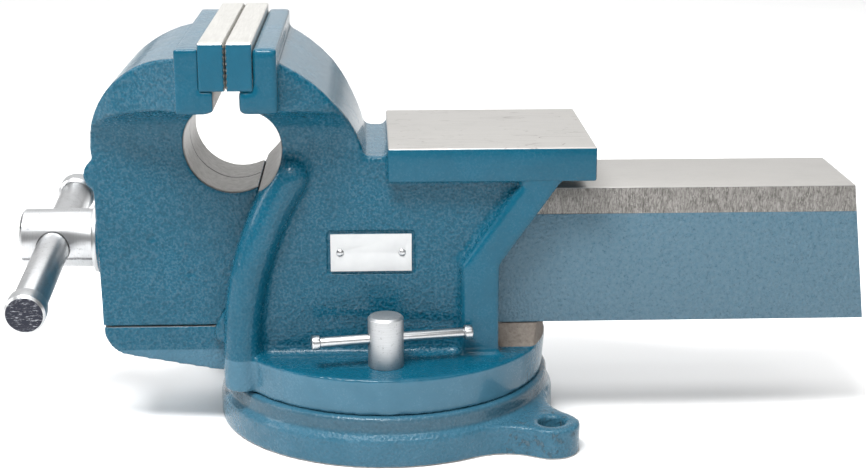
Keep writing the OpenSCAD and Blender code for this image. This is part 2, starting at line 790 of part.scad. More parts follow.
module lock_bolt(side) {
    edge = 1.2;
    color(steel) translate([-1, side * lock_r, disc_top]) difference() {
        union() {
            cylinder(h = lock_head_h - edge, r = lock_head_d / 2);
            translate([0, 0, lock_head_h - edge])
                cylinder(h = edge, r1 = lock_head_d / 2, r2 = lock_head_d / 2 - edge);
            translate([0, 0, tee_z + 2 - disc_top])
                cylinder(h = disc_top - tee_z, r = lock_shank_d / 2);
        }
        rotate([0, 0, -side * lock_turn]) translate([-lock_head_d, 0, lock_bar_rise])
            rod_x(0, 2 * lock_head_d, lock_bar_d / 2 + loose_fit);
    }
}

// Places its children in a cross bar's line, with Z along the bar to the rear
module at_lock_bar(side) {
    translate([-1, side * lock_r, disc_top + lock_bar_rise]) rotate([0, 0, -side * lock_turn])
        rotate([0, 90, 0]) translate([0, 0, lock_shift]) children();
}

module lock_bar(side) {
    l = lock_bar_l - 2;
    color(steel) at_lock_bar(side) translate([0, 0, -l / 2]) cylinder(h = l, r = lock_bar_d / 2);
}

module lock_bar_caps(side) {
    color(steel) at_lock_bar(side) for (flip = [0, 1]) mirror([0, 0, flip])
        translate([0, 0, lock_bar_l / 2 - lock_cap_l])
        bar_cap(lock_cap_d / 2, lock_cap_l, lock_bar_d / 2 + press_fit, lock_cap_l - 1);
}

module lock_bolt_near() { lock_bolt(-1); }
module lock_bolt_far() { lock_bolt(1); }
module lock_bar_near() { lock_bar(-1); }
module lock_bar_far() { lock_bar(1); }
module lock_bar_caps_near() { lock_bar_caps(-1); }
module lock_bar_caps_far() { lock_bar_caps(1); }

swivel_base();
pivot_bolt();
pivot_washer();
pivot_nut();
vise_body();
fixed_jaw_plate();
fixed_plate_screws();
spindle_nut();
nut_screws();
tee_nut_near();
tee_nut_far();
label_plate();
label_rivets();
moving_jaw();
moving_jaw_plate();
moving_plate_screws();
spindle();
thrust_washer();
spindle_collar();
collar_pin();
handle_bar();
handle_cap_near();
handle_cap_far();
lock_bolt_near();
lock_bar_near();
lock_bar_caps_near();
lock_bolt_far();
lock_bar_far();
lock_bar_caps_far();
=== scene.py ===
import json
import math

import bmesh
import bpy
from bpy.props import FloatProperty, FloatVectorProperty, IntProperty, PointerProperty
from mathutils import Matrix, Vector, noise


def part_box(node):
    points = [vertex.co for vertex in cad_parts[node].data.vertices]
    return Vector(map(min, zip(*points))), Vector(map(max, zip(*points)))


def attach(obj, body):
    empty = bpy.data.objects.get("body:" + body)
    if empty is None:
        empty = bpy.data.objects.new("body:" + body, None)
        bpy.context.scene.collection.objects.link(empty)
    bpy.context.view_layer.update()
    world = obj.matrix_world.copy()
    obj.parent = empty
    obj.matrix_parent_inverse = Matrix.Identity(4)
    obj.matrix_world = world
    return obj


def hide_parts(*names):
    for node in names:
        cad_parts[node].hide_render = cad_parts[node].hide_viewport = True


bl_info = {
    "name": "Bench vise",
    "version": (1, 0, 0),
    "blender": (4, 5, 0),
    "location": "3D View > Sidebar > Vise",
    "description": "The castings, steel parts and finishes of a bench vise, and a stage",
    "category": "Object",
}

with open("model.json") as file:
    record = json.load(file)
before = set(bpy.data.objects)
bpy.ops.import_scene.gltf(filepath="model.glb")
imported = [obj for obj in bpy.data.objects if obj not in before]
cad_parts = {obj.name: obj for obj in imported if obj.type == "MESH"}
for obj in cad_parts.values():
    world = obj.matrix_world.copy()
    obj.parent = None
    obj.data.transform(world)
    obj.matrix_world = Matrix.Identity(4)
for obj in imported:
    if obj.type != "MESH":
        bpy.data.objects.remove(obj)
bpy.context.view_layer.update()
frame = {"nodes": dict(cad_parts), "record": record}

MM = 0.001
NODES = frame["nodes"]
BODY_OF = {
    node: body
    for body, nodes in frame["record"]["behaviour"]["bodies"].items()
    for node in nodes
}

# Places that several pieces and finishes share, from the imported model
label_low, label_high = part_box("label_plate")
plate_low, plate_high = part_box("fixed_jaw_plate")
front_plate_low, front_plate_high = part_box("moving_jaw_plate")
spindle_low, spindle_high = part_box("spindle")
opening_low, opening_high = (
    Vector(corner)
    for corner in frame["record"]["physics"]["openings"][0]["box_m"]
)
MEETING_X = (plate_low.x + front_plate_high.x) / 2
THROAT_R = 25.5 * MM
THROAT_X = MEETING_X - 0.7 * MM
THROAT_Z = (opening_low.z + opening_high.z) / 2
ANVIL_TOP = 159.0 * MM
SLIDE_TOP = 133.3 * MM
SLIDE_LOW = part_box("moving_jaw")[0].z
SLIDE_Y = 33.2 * MM
PANEL_Y = 44.0 * MM
DISC_TOP = 46.7 * MM
ANVIL_T = 17.9 * MM
ANVIL_X = 0.9 * MM
ANVIL_END = 108.6 * MM
ANVIL_Y = 52.1 * MM
SLIDE_X = -66.9 * MM
HIDE = 0.3 * MM
SPINDLE_Z = (spindle_low.z + spindle_high.z) / 2
SPINDLE_R = 13.0 * MM
HANDLE_AXIS = Vector((0, 0.991445, 0.130526))
CROSS_AXIS_X, CROSS_AXIS_Y = 0.984808, 0.173648
HEAD_SIDE_Y = 68.0 * MM
BAND_LOW = 118.9 * MM

# The enamel's clear coat, the share of metal in a bare face, and the depth of the relief
GLOSS = {"coat_roughness": 0.09, "coat_ior": 1.32, "specular_ior_level": 0.16}
COAT = 0.50
BARE_METAL = 0.72
RELIEF = 0.8 * MM

# How much of the setting Wave a casting takes, and the rougher nose of the body
CAST_WAVE = 1.2
NOSE_WAVE = 1.7

# Corners flatter than this are drawn as one face; sharper than the other one, they are edges
FLAT = math.radians(0.6)
CORNER = math.radians(30)

CAMERA_AT = (-0.00794, -0.87926, 0.34164)
CAMERA_TURN = (74.54, 0.0, -2.21)
LAMP_AIM = Vector((0, 0, 0.1))
# Each lamp's place, its width and height, and its share of the key light's power
LAMPS = {
    "lamp_above": ((0.0, 0.5, 1.9), (2.4, 2.0), 0.60),
    "lamp_grazing": ((-0.35, -0.72, 1.5), (0.8, 0.4), 0.62),
    "lamp_behind": ((0.0, 2.8, 1.3), (6.0, 2.4), 0.52),
    "lamp_front": ((0.4, -1.7, 1.35), (1.5, 0.3), 0.16),
    "lamp_left": ((-1.8, -0.2, 0.9), (0.5, 1.2), 0.22),
}


# ---------------------------------------------------------------- sizes and colours

class ViseCastingSettings(bpy.types.PropertyGroup):
    """Sizes and colours of the painted castings."""

    paint: FloatVectorProperty(
        name="Paint", description="Colour of the enamel", subtype="COLOR",
        default=(0.001, 0.075, 0.127), min=0, max=1)
    bare: FloatVectorProperty(
        name="Bare iron", description="Colour of the machined faces", subtype="COLOR",
        default=(0.43, 0.418, 0.40), min=0, max=1)
    edge: FloatProperty(
        name="Edge radius", description="How round a casting's edges are", unit="LENGTH",
        default=1.6 * MM, min=0.5 * MM, max=4 * MM)
    wave: FloatProperty(
        name="Wave", description="Depth of a cast surface's unevenness", unit="LENGTH",
        default=0.16 * MM, min=0, max=1 * MM)
    grain: FloatProperty(
        name="Grain", description="Width of the grain under the paint", unit="LENGTH",
        default=1.15 * MM, min=0.5 * MM, max=5 * MM)
    faces: IntProperty(
        name="Triangles", description="Most triangles of one casting",
        default=180000, min=20000, max=195000)


class ViseSteelSettings(bpy.types.PropertyGroup):
    """Sizes and colours of the steel pieces."""

    zinc: FloatVectorProperty(
        name="Zinc", description="Colour of the zinc plating", subtype="COLOR",
        default=(0.58, 0.59, 0.60), min=0, max=1)
    edge: FloatProperty(
        name="Edge radius", description="How round a steel piece's edges are", unit="LENGTH",
        default=0.35 * MM, min=0.05 * MM, max=2 * MM)
    pitch: FloatProperty(
        name="Thread pitch", description="Advance of the spindle in one turn", unit="LENGTH",
        default=5 * MM, min=2 * MM, max=8 * MM)
    thread_depth: FloatProperty(
        name="Thread depth", description="Depth of the spindle's thread", unit="LENGTH",
        default=2.2 * MM, min=0.5 * MM, max=4 * MM)
    knurl: FloatProperty(
        name="Knurl pitch", description="Distance between the jaw plates' grooves",
        unit="LENGTH", default=3 * MM, min=1.5 * MM, max=6 * MM)
    knurl_depth: FloatProperty(
        name="Knurl depth", description="Depth of the jaw plates' grooves", unit="LENGTH",
        default=0.9 * MM, min=0.1 * MM, max=1.2 * MM)


class ViseStageSettings(bpy.types.PropertyGroup):
    """The floor, the lights and the camera."""

    floor: FloatVectorProperty(
        name="Floor", description="Colour of the floor", subtype="COLOR",
        default=(0.90, 0.90, 0.90), min=0, max=1)
    sky: FloatProperty(
        name="Surroundings", description="Brightness of the surroundings",
        default=0.24, min=0, max=5)
    key: FloatProperty(
        name="Key light", description="Power of the large lamp above", unit="POWER",
        default=62, min=0, max=1000)
    lens: FloatProperty(
        name="Lens", description="Focal length of the camera, in millimetres",
        default=68.8, min=20, max=200)


# ---------------------------------------------------------------- shader maths

class Signal:
    """A shader socket that takes part in sums; each operator adds one Math node."""

    def __init__(self, finish, socket):
        self.finish = finish
        self.socket = socket

    def math(self, operation, *others):
        sides = {0: self}
        sides.update({i + 1: other for i, other in enumerate(others)})
        node = self.finish.add("ShaderNodeMath", {"operation": operation}, sides)
        return Signal(self.finish, node.outputs[0])

    def __add__(self, other):
        return self.math("ADD", other)

    def __sub__(self, other):
        return self.math("SUBTRACT", other)

    def __mul__(self, other):
        return self.math("MULTIPLY", other)

    def __rsub__(self, other):
        return (self * -1) + other

    __radd__ = __add__
    __rmul__ = __mul__

    def __abs__(self):
        return self.math("ABSOLUTE")

    def most(self, other):
        return self.math("MAXIMUM", other)

    def above(self, edge, soft):
        """Rises from 0 to 1 as the value passes the edge."""
        node = self.finish.add(
            "ShaderNodeMapRange", {"interpolation_type": "SMOOTHSTEP", "clamp": True},
            {"Value": self, "From Min": edge - soft, "From Max": edge + soft,
             "To Min": 0.0, "To Max": 1.0})
        return Signal(self.finish, node.outputs[0])

    def below(self, edge, soft):
        return 1 - self.above(edge, soft)

    def within(self, low, high, soft):
        return self.above(low, soft) * self.below(high, soft)


class Finish:
    """The nodes of one material, whose patterns read Object coordinates."""

    def __init__(self, name):
        self.material = bpy.data.materials.new(name)
        self.material.use_nodes = True
        self.tree = self.material.node_tree
        self.tree.nodes.clear()
        self.spot = self.add("ShaderNodeTexCoord").outputs["Object"]
        parts = self.add("ShaderNodeSeparateXYZ", {}, {"Vector": self.spot})
        self.x, self.y, self.z = (Signal(self, out) for out in parts.outputs)

    def add(self, kind, settings=None, sockets=None):
        """Adds a node; its settings come first, then its sockets' values or links."""
        node = self.tree.nodes.new(kind)
        for name, value in (settings or {}).items():
            setattr(node, name, value)
        for name, value in (sockets or {}).items():
            value = value.socket if isinstance(value, Signal) else value
            if isinstance(value, bpy.types.NodeSocket):
                self.tree.links.new(value, node.inputs[name])
            else:
                node.inputs[name].default_value = value
        return node

    def mapped(self, scale=(1, 1, 1), turn=(0, 0, 0)):
        """Object coordinates, turned and then scaled."""
        node = self.add("ShaderNodeMapping", {"vector_type": "POINT"},
                        {"Vector": self.spot, "Scale": scale, "Rotation": turn})
        return node.outputs[0]

    def noise(self, size, detail=3.0, rough=0.55, where=None, bend=0.0):
        """Cloudy noise from 0 to 1 whose patches are about size metres wide."""
        node = self.add("ShaderNodeTexNoise", {"noise_dimensions": "3D"},
                        {"Vector": where or self.spot, "Scale": 1 / size,
                         "Detail": detail, "Roughness": rough, "Distortion": bend})
        return Signal(self, node.outputs["Fac"])

    def cells(self, size, where=None, smooth=0.6):
        """Rounded cells: 0 at a cell's middle, about 1 between cells."""
        node = self.add("ShaderNodeTexVoronoi", {"feature": "SMOOTH_F1"},
                        {"Vector": where or self.spot, "Scale": 1 / size,
                         "Smoothness": smooth})
        return Signal(self, node.outputs["Distance"])

    def along(self, direction):
        node = self.add("ShaderNodeVectorMath", {"operation": "DOT_PRODUCT"},
                        {0: self.spot, 1: direction})
        return Signal(self, node.outputs["Value"])

    def mix(self, share, first, second):
        """A colour that goes from the first to the second as share goes from 0 to 1."""
        node = self.add("ShaderNodeMix", {"data_type": "RGBA", "clamp_factor": True},
                        {"Factor": share})
        for socket, value in ((node.inputs[6], first), (node.inputs[7], second)):
            if isinstance(value, bpy.types.NodeSocket):
                self.tree.links.new(value, socket)
            else:
                socket.default_value = (*value, 1)
        return node.outputs[2]

    def bump(self, height, distance, strength=1.0, under=None):
        """A normal bent by a height from 0 to 1; under is the coarser relief below it."""
        sockets = {"Height": height, "Distance": distance, "Strength": strength}
        if under is not None:
            sockets["Normal"] = under
        return self.add("ShaderNodeBump", {}, sockets).outputs[0]

    def shade(self, **sockets):
        """Adds the surface shader and gives back the material."""
        names = {name.replace("_", " ").title().replace("Ior", "IOR"): value
                 for name, value in sockets.items()}
        shader = self.add("ShaderNodeBsdfPrincipled", {}, names)
        self.add("ShaderNodeOutputMaterial", {}, {"Surface": shader.outputs[0]})
        return self.material


def tint(colour, share):
    """A colour made lighter, or darker where share is below 1."""
    return tuple(min(1.0, c * share) for c in colour)


# ---------------------------------------------------------------- finishes

def throat_mask(finish):
    """1 on the bore between the jaws."""
    across = finish.x - THROAT_X
    up = finish.z - THROAT_Z
    reach = (across * across + up * up).math("SQRT")
    return reach.below(THROAT_R + 0.5 * MM, 0.25 * MM)


def bore_iron(finish):
    """Colour of the bare cast iron in the bore."""
    return finish.mix(finish.noise(3 * MM, 4, 0.65), (0.20, 0.19, 0.18), (0.56, 0.55, 0.53))


def enamel(finish, settings, calm):
    """Colour, roughness and relief of the hammered enamel; calm is 1 where it is smooth.
    Its grain has painted glints on the peaks and painted shade in the hollows.
    """
    cloud = finish.noise(22 * MM, 3)
    rub = finish.noise(5 * MM, 5, 0.65)
    grain = finish.noise(settings.grain, 2.0, 0.5)
    dimples = finish.cells(settings.grain * 1.5)
    lively = 1 - calm * 0.80
    relief = (dimples * 0.6 + grain * 0.6 + rub * 0.3) * lively
    paint = finish.mix((cloud - 0.35) * 1.4, tint(settings.paint, 0.86),
                       tint(settings.paint, 1.12))
    height = grain * 0.7 + dimples * 0.4
    # Painted highlight: the grain's peaks get a lighter paint, as glints of the lamps.
    high = height.above(0.60, 0.10) * lively
    # Painted shade: the grain's hollows get a darker paint.
    painted_pit_shade = height.below(0.44, 0.10) * lively
    paint = finish.mix(high * 0.22, paint, tuple(0.9 * c + 0.10 for c in settings.paint))
    paint = finish.mix(painted_pit_shade * 0.40, paint, tint(settings.paint, 0.40))
    roughness = 0.17 + cloud * 0.08 + grain * 0.10
    return paint, roughness, relief, cloud


def machined(finish, settings, across=(1, 1, 1)):
    """Colour, roughness and relief of a bare machined face with its cutter's lines."""
    lines = finish.noise(0.9 * MM, 3, 0.6, finish.mapped(across))
    cloud = finish.noise(14 * MM, 4, 0.6)
    spots = finish.noise(1.1 * MM, 4, 0.7).above(0.68, 0.03)
    metal = finish.mix((lines - 0.3) * 1.3, tint(settings.bare, 0.86), tint(settings.bare, 1.08))
    metal = finish.mix((cloud - 0.5) * 0.9, metal, tint(settings.bare, 0.72))
    metal = finish.mix(spots * 0.5, metal, (0.16, 0.13, 0.11))
    roughness = 0.34 + lines * 0.14 + spots * 0.2
    return metal, roughness, lines


def body_finish(settings):
    """Enamel over the body, with its machined anvil, throat and guide left bare."""
    f = Finish("body_enamel")
    wide = abs(f.y)
    calm = wide.above(HEAD_SIDE_Y, 1 * MM)
    calm = calm.most(wide.above(49.5 * MM, 1 * MM) * f.x.above(0, 2 * MM))
    rib = wide.above(45.5 * MM, 1 * MM) * f.x.below(-30 * MM, 2 * MM) * f.z.below(146 * MM, 4 * MM)
    calm = calm.most(rib * 0.55)
    paint, roughness, relief, cloud = enamel(f, settings, calm)
    metal, metal_rough, lines = machined(f, settings, (0.05, 1, 1))
    top = f.z.above(ANVIL_TOP - 0.55 * MM, 0.2 * MM) * f.x.above(0.5 * MM, 0.6 * MM)
    throat = throat_mask(f)
    inside = abs(f.y).below(SLIDE_Y + 0.65 * MM, 0.15 * MM)
    guide = inside * f.z.within(58.35 * MM, 133.9 * MM, 0.12 * MM)
    seat = f.x.below(plate_low.x + 6.4 * MM, 0.1 * MM) * f.z.above(181.0 * MM, 0.3 * MM)
    stub = (f.x.above(59.5 * MM, 0.3 * MM) * f.z.within(DISC_TOP + 0.2 * MM, 58.4 * MM, 0.2 * MM)
            * abs(f.y).below(40 * MM, 1 * MM))
    scratch = f.noise(26 * MM, 2, 0.5, f.mapped((0.25, 1.6, 1), (0, 0, 0.5)), 1.5)
    scratch = scratch.within(0.497, 0.503, 0.002)
    bare = top.most(throat).most(guide).most(seat)
    rough_iron = f.mix(f.noise(2.2 * MM, 4, 0.7), (0.085, 0.068, 0.055), (0.25, 0.225, 0.20))
    metal = f.mix(throat, metal, bore_iron(f))
    metal = f.mix(scratch * top * 0.6, metal, (0.12, 0.10, 0.09))
    # Painted reflection: the disc's upright rim gets a paler paint, as a sheen of the pale
    # surroundings.
    rim = f.z.below(DISC_TOP - 1.2 * MM, 0.5 * MM)
    paint = f.mix(rim * 0.8, paint, f.mix(cloud, tuple(c + 0.03 for c in settings.paint),
                                          tuple(1.3 * c + 0.075 for c in settings.paint)))
    colour = f.mix(bare, paint, metal)
    colour = f.mix(stub, colour, rough_iron)
    height = (relief * (1 - bare) + lines * bare * 0.12)
    return f.shade(
        base_color=colour, metallic=bare * BARE_METAL,
        roughness=roughness * (1 - bare) * (1 - stub) + metal_rough * bare + stub * 0.75,
        coat_weight=(1 - bare) * (1 - stub) * COAT, normal=f.bump(height, RELIEF, 1.0), **GLOSS)


def jaw_finish(settings):
    """Enamel over the moving jaw; the slide's top and upper sides are bare."""
    f = Finish("moving_jaw_enamel")
    paint, roughness, relief, _ = enamel(f, settings, abs(f.y).above(HEAD_SIDE_Y, 1 * MM))
    metal, metal_rough, lines = machined(f, settings, (0.05, 1, 1))
    behind = f.x.above(-66.9 * MM, 0.2 * MM)
    top = f.z.above(SLIDE_TOP - 0.5 * MM, 0.2 * MM) * behind
    side = (f.z.within(BAND_LOW, SLIDE_TOP - 0.5 * MM, 0.15 * MM) * behind
            * abs(f.y).above(SLIDE_Y - 1.2 * MM, 0.3 * MM))
    lower = f.x.above(-60 * MM, 0.3 * MM) * f.z.below(BAND_LOW, 0.15 * MM)
    inside = (abs(f.y).below(22.5 * MM, 0.1 * MM) * f.z.below(118.6 * MM, 0.1 * MM)
              * f.x.above(-138 * MM, 0.2 * MM))
    throat = throat_mask(f)
    seat = f.x.above(front_plate_low.x + 6.6 * MM, 0.1 * MM) * f.z.above(180.9 * MM, 0.3 * MM)
    parting = abs(f.y + (f.noise(9 * MM, 4, 0.7) - 0.5) * 5 * MM).below(1.0 * MM, 0.4 * MM) * throat
    waves = f.noise(0.8 * MM, 3, 0.6, f.mapped((1, 1, 0.22)), 1.2)
    pits = f.noise(1.3 * MM, 4, 0.75).above(0.60, 0.05)
    side_iron = f.mix(waves.above(0.5, 0.22), (0.085, 0.080, 0.074), (0.40, 0.385, 0.365))
    side_iron = f.mix(pits * 0.6, side_iron, (0.060, 0.056, 0.052))
    side_iron = f.mix(f.noise(18 * MM, 3) * 0.5, side_iron, (0.20, 0.192, 0.18))
    grey_paint = f.mix(f.noise(2.2 * MM, 4, 0.7), tuple(c + 0.030 for c in settings.paint),
                       tuple(0.80 * c + 0.125 for c in settings.paint))
    grey_paint = f.mix(pits * 0.5, grey_paint, tint(settings.paint, 0.5))
    bare = top.most(throat).most(seat)
    metal = f.mix(throat, metal, bore_iron(f))
    metal = f.mix(parting * 0.95, metal, (0.03, 0.028, 0.025))
    colour = f.mix(lower, paint, grey_paint)
    colour = f.mix(inside, colour, (0.10, 0.085, 0.07))
    colour = f.mix(side, colour, side_iron)
    colour = f.mix(bare, colour, metal)
    shown = (1 - bare) * (1 - side)
    return f.shade(
        base_color=colour, metallic=bare * BARE_METAL + side * 0.45,
        roughness=(roughness + lower * 0.12) * shown + metal_rough * bare + side * 0.42,
        coat_weight=shown * (1 - lower * 0.6) * COAT,
        normal=f.bump(relief * shown + (lines * bare + waves * side) * 0.15, RELIEF, 1.0),
        **GLOSS)


def base_finish(settings):
    """Enamel over the base, worn at the lugs. Its turned neck is greyer and the rest paler:
    both are painted reflections of the pale surroundings.
    """
    f = Finish("base_enamel")
    reach = (f.x * f.x + f.y * f.y).math("SQRT")
    worn = reach.within(60 * MM, 91 * MM, 1 * MM)
    paint, roughness, relief, cloud = enamel(f, settings, worn * 0.4)
    lug = reach.above(97 * MM, 2 * MM)
    wear = f.noise(6 * MM, 5, 0.7).above(0.60, 0.03) * lug
    neck = f.z.within(18 * MM, 25.5 * MM, 0.8 * MM) * reach.within(85 * MM, 91 * MM, 0.5 * MM)
    under = f.z.below(0.8 * MM, 0.2 * MM)
    # Painted reflection: all but the neck get a paler paint.
    paint = f.mix((1 - neck) * 0.6, paint, f.mix(cloud, tuple(c + 0.02 for c in settings.paint),
                                                 tuple(1.2 * c + 0.07 for c in settings.paint)))
    # Painted reflection: the upright neck is greyer.
    colour = f.mix(neck * 0.5, paint, tuple(0.5 * c + 0.06 for c in settings.paint))
    colour = f.mix(wear * 0.5, colour, (0.10, 0.12, 0.13))
    colour = f.mix(under, colour, settings.bare)
    return f.shade(
        base_color=colour, metallic=under * 0.7,
        roughness=roughness + wear * 0.25 + under * 0.15,
        coat_weight=(1 - wear) * (1 - under) * COAT,
        normal=f.bump(relief + wear * 0.5, RELIEF, 1.0), **GLOSS)


def zinc_finish(name, settings, axis=(1, 0, 0), centre=None, half=None, streak=0.5, satin=0.0,
                painted_reflections=False):
    """Bright zinc with fine turning marks; ends past half from centre are dark, and a streaked
    piece has dark painted reflections along its upper and lower sides."""
    f = Finish(name)
    place = f.along(axis)
    rings = f.add("ShaderNodeTexNoise", {"noise_dimensions": "1D"},
                  {"W": place, "Scale": 1 / (0.35 * MM), "Detail": 3.0, "Roughness": 0.6})
    rings = Signal(f, rings.outputs["Fac"])
    cloud = f.noise(7 * MM, 4, 0.6)
    fleck = f.noise(1.4 * MM, 4, 0.7).above(0.63, 0.03)
    colour = f.mix((rings - 0.35) * 1.2, tint(settings.zinc, 0.80), tint(settings.zinc, 1.12))
    colour = f.mix((cloud - 0.45) * streak * 1.6, colour, tint(settings.zinc, 0.55))
    colour = f.mix(fleck * 0.35, colour, (0.16, 0.15, 0.14))
    roughness = 0.24 + satin + cloud * 0.16 + fleck * 0.2
    metallic = 1.0
    height = rings * 0.25 + cloud * 0.3
    if centre is not None:
        middle = sum(c * a for c, a in zip(centre, axis))
        ends = abs(place - middle).above(half, 0.12 * MM)
        speckle = f.noise(0.9 * MM, 4, 0.75, f.mapped((0.3, 1.0, 1.4), (0, 0.7, 0)))
        colour = f.mix(ends, colour, f.mix(speckle.above(0.60, 0.07), (0.016, 0.018, 0.030),
                                           (0.34, 0.35, 0.38)))
        roughness = roughness * (1 - ends) + ends * 0.62
        metallic = 1 - ends * 0.5
        height = height + speckle * ends * 2
    if painted_reflections:
        # Painted reflections: dark streaks along the upper and lower sides of the spindle's head.
        off = f.z - SPINDLE_Z + (f.noise(6 * MM, 3) - 0.5) * 1.5 * MM
        reflection_streaks = off.within(8.6 * MM, 9.8 * MM, 0.4 * MM)
        reflection_streaks = reflection_streaks.most(off.within(-8.8 * MM, -7.4 * MM, 0.4 * MM))
        colour = f.mix(reflection_streaks * f.noise(3 * MM, 4, 0.7).above(0.40, 0.15) * 0.75, colour,
                       (0.05, 0.052, 0.058))
    return f.shade(base_color=colour, metallic=metallic, roughness=roughness,
                   normal=f.bump(height, 0.04 * MM, 0.5))


def ground_finish():
    """Hardened jaw plates: ground bright with dull spots, enamel on their ends."""
    f = Finish("ground_plates")
    lines = f.noise(0.7 * MM, 3, 0.6, f.mapped((1, 0.04, 1)))
    cloud = f.noise(10 * MM, 4, 0.6)
    spots = f.noise(1.6 * MM, 5, 0.75).above(0.64, 0.03)
    steel = f.mix((lines - 0.3) * 1.2, (0.56, 0.55, 0.52), (0.80, 0.79, 0.76))
    steel = f.mix((cloud - 0.5) * 0.8, steel, (0.44, 0.43, 0.40))
    steel = f.mix(spots * 0.55, steel, (0.17, 0.15, 0.13))
    ends = (abs(f.y).above(plate_high.y - 0.7 * MM, 0.15 * MM)
            * f.z.below(plate_high.z - 0.9 * MM, 0.3 * MM))
    paint = bpy.context.scene.vise_castings.paint
    colour = f.mix(ends, steel, f.mix(cloud, tint(paint, 0.8), tint(paint, 1.15)))
    return f.shade(base_color=colour, metallic=(1 - ends) * 0.85,
                   roughness=0.30 + lines * 0.15 + spots * 0.2, coat_weight=ends * COAT,
                   normal=f.bump(lines * (1 - ends) * 0.03 + f.noise(1.2 * MM, 3) * ends * 0.35,
                                 0.5 * MM, 1.0), **GLOSS)


def iron_finish(name, low, high, roughness=0.5, metallic=0.8):
    """Plain iron or steel of a hidden piece, between two colours."""
    f = Finish(name)
    cloud = f.noise(4 * MM, 5, 0.65)
    grain = f.noise(0.6 * MM, 3, 0.6)
    return f.shade(base_color=f.mix(cloud, low, high), metallic=metallic,
                   roughness=roughness + grain * 0.15,
                   normal=f.bump(grain + cloud * 0.5, 0.05 * MM, 0.6))


def label_finish():
    """White stoved enamel, faintly uneven."""
    f = Finish("label_enamel")
    cloud = f.noise(8 * MM, 4)
    dirt = f.noise(1.5 * MM, 5, 0.75).above(0.69, 0.03)
    colour = f.mix(cloud, (0.44, 0.45, 0.46), (0.54, 0.55, 0.55))
    colour = f.mix(dirt * 0.4, colour, (0.35, 0.36, 0.36))
    return f.shade(base_color=colour, roughness=0.28 + cloud * 0.15,
                   normal=f.bump(cloud, 0.05 * MM, 0.4))


# ---------------------------------------------------------------- shapes

def new_piece(name, bm, sharp=35):
    """A piece from a bmesh, smooth but for edges that are sharper than an angle."""
    for face in bm.faces:
        face.smooth = True
    for edge in bm.edges:
        edge.smooth = edge.calc_face_angle(0) < math.radians(sharp)
    mesh = bpy.data.meshes.new(name)
    bm.to_mesh(mesh)
    bm.free()
    piece = bpy.data.objects.new(name, mesh)
    bpy.context.scene.collection.objects.link(piece)
    return piece


def merged(node):
    """A bmesh of a CAD node with its loose triangles joined and its degenerate edges and faces
    dissolved.
    """
    bm = bmesh.new()
    bm.from_mesh(NODES[node].data)
    for layer in list(bm.loops.layers.uv):
        bm.loops.layers.uv.remove(layer)
    bmesh.ops.remove_doubles(bm, verts=bm.verts, dist=1e-6)
    bmesh.ops.dissolve_degenerate(bm, dist=1e-7, edges=bm.edges)
    return bm


def without_old_normals(mesh):
    """Removes the normals that came with the CAD mesh, which no longer fit."""
    if "custom_normal" in mesh.attributes:
        mesh.attributes.remove(mesh.attributes["custom_normal"])


def eased(node, name, width, segments=2, angle=30):
    """A copy of a CAD node with its sharp edges rounded."""
    bm = merged(node)
    bmesh.ops.dissolve_limit(bm, angle_limit=math.radians(0.6), verts=bm.verts,
                             edges=bm.edges, use_dissolve_boundaries=False)
    edges = [e for e in bm.edges if e.calc_face_angle(0) > math.radians(angle)]
    bmesh.ops.bevel(bm, geom=edges, offset=width, offset_type="OFFSET", segments=segments,
                    profile=0.5, affect="EDGES", material=-1, clamp_overlap=True)
    piece = new_piece(name, bm)
    without_old_normals(piece.data)
    return piece


def applied(piece):
    """Makes the piece's modifiers part of its mesh."""
    bpy.context.view_layer.update()
    graph = bpy.context.evaluated_depsgraph_get()
    mesh = bpy.data.meshes.new_from_object(piece.evaluated_get(graph))
    old = piece.data
    piece.modifiers.clear()
    piece.data = mesh
    bpy.data.meshes.remove(old)
    mesh.name = piece.name


def settle(piece, node, material, also=()):
    """Puts a finished piece on its node's body, in its place, with its material."""
    piece.data.materials.clear()
    piece.data.materials.append(material)
    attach(piece, BODY_OF[node])
    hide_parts(node, *also)


def dress(nodes, material):
    """Gives CAD nodes that keep their own shape a finish."""
    for node in nodes:
        mesh = NODES[node].data
        mesh.materials.clear()
        mesh.materials.append(material)


def cast_skin(node, name, settings, wave_at, end_x=None):
    """A casting: rounded edges and fillets, and a surface that is slightly uneven.

    The waves only go inwards, so nothing leaves the CAD shape. It may stop at end_x."""
    bm = merged(node)
    if end_x is not None:
        bmesh.ops.bisect_plane(bm, geom=[*bm.verts, *bm.edges, *bm.faces],
                               plane_co=(end_x, 0, 0), plane_no=(1, 0, 0), clear_outer=True)
        bmesh.ops.holes_fill(bm, edges=[e for e in bm.edges if e.is_boundary], sides=0)
    area = sum(face.calc_area() for face in bm.faces)
    piece = new_piece(name, bm)
    without_old_normals(piece.data)
    skin = piece.modifiers.new("Skin", "REMESH")
    skin.mode = "VOXEL"
    skin.voxel_size = max(0.9 * MM, math.sqrt(2.05 * area / settings.faces))
    soft = piece.modifiers.new("Soft edges", "SMOOTH")
    soft.factor = 0.5
    soft.iterations = max(2, round(2.2 * (settings.edge / skin.voxel_size) ** 2 + 1.5))
    applied(piece)
    bm = bmesh.new()
    bm.from_mesh(piece.data)
    bm.normal_update()
    low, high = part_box(node)
    for vert in bm.verts:
        depth = wave_at(vert.co, vert.normal)
        if depth:
            swell = noise.fractal(vert.co * 60, 0.6, 2.0, 3)
            fine = noise.noise(vert.co * 230)
            amount = 0.5 + 0.30 * swell + 0.25 * fine
            vert.co -= vert.normal * (settings.wave * depth * min(max(amount, 0), 1))
        for axis in range(3):
            vert.co[axis] = min(max(vert.co[axis], low[axis]), high[axis])
    return piece, bm


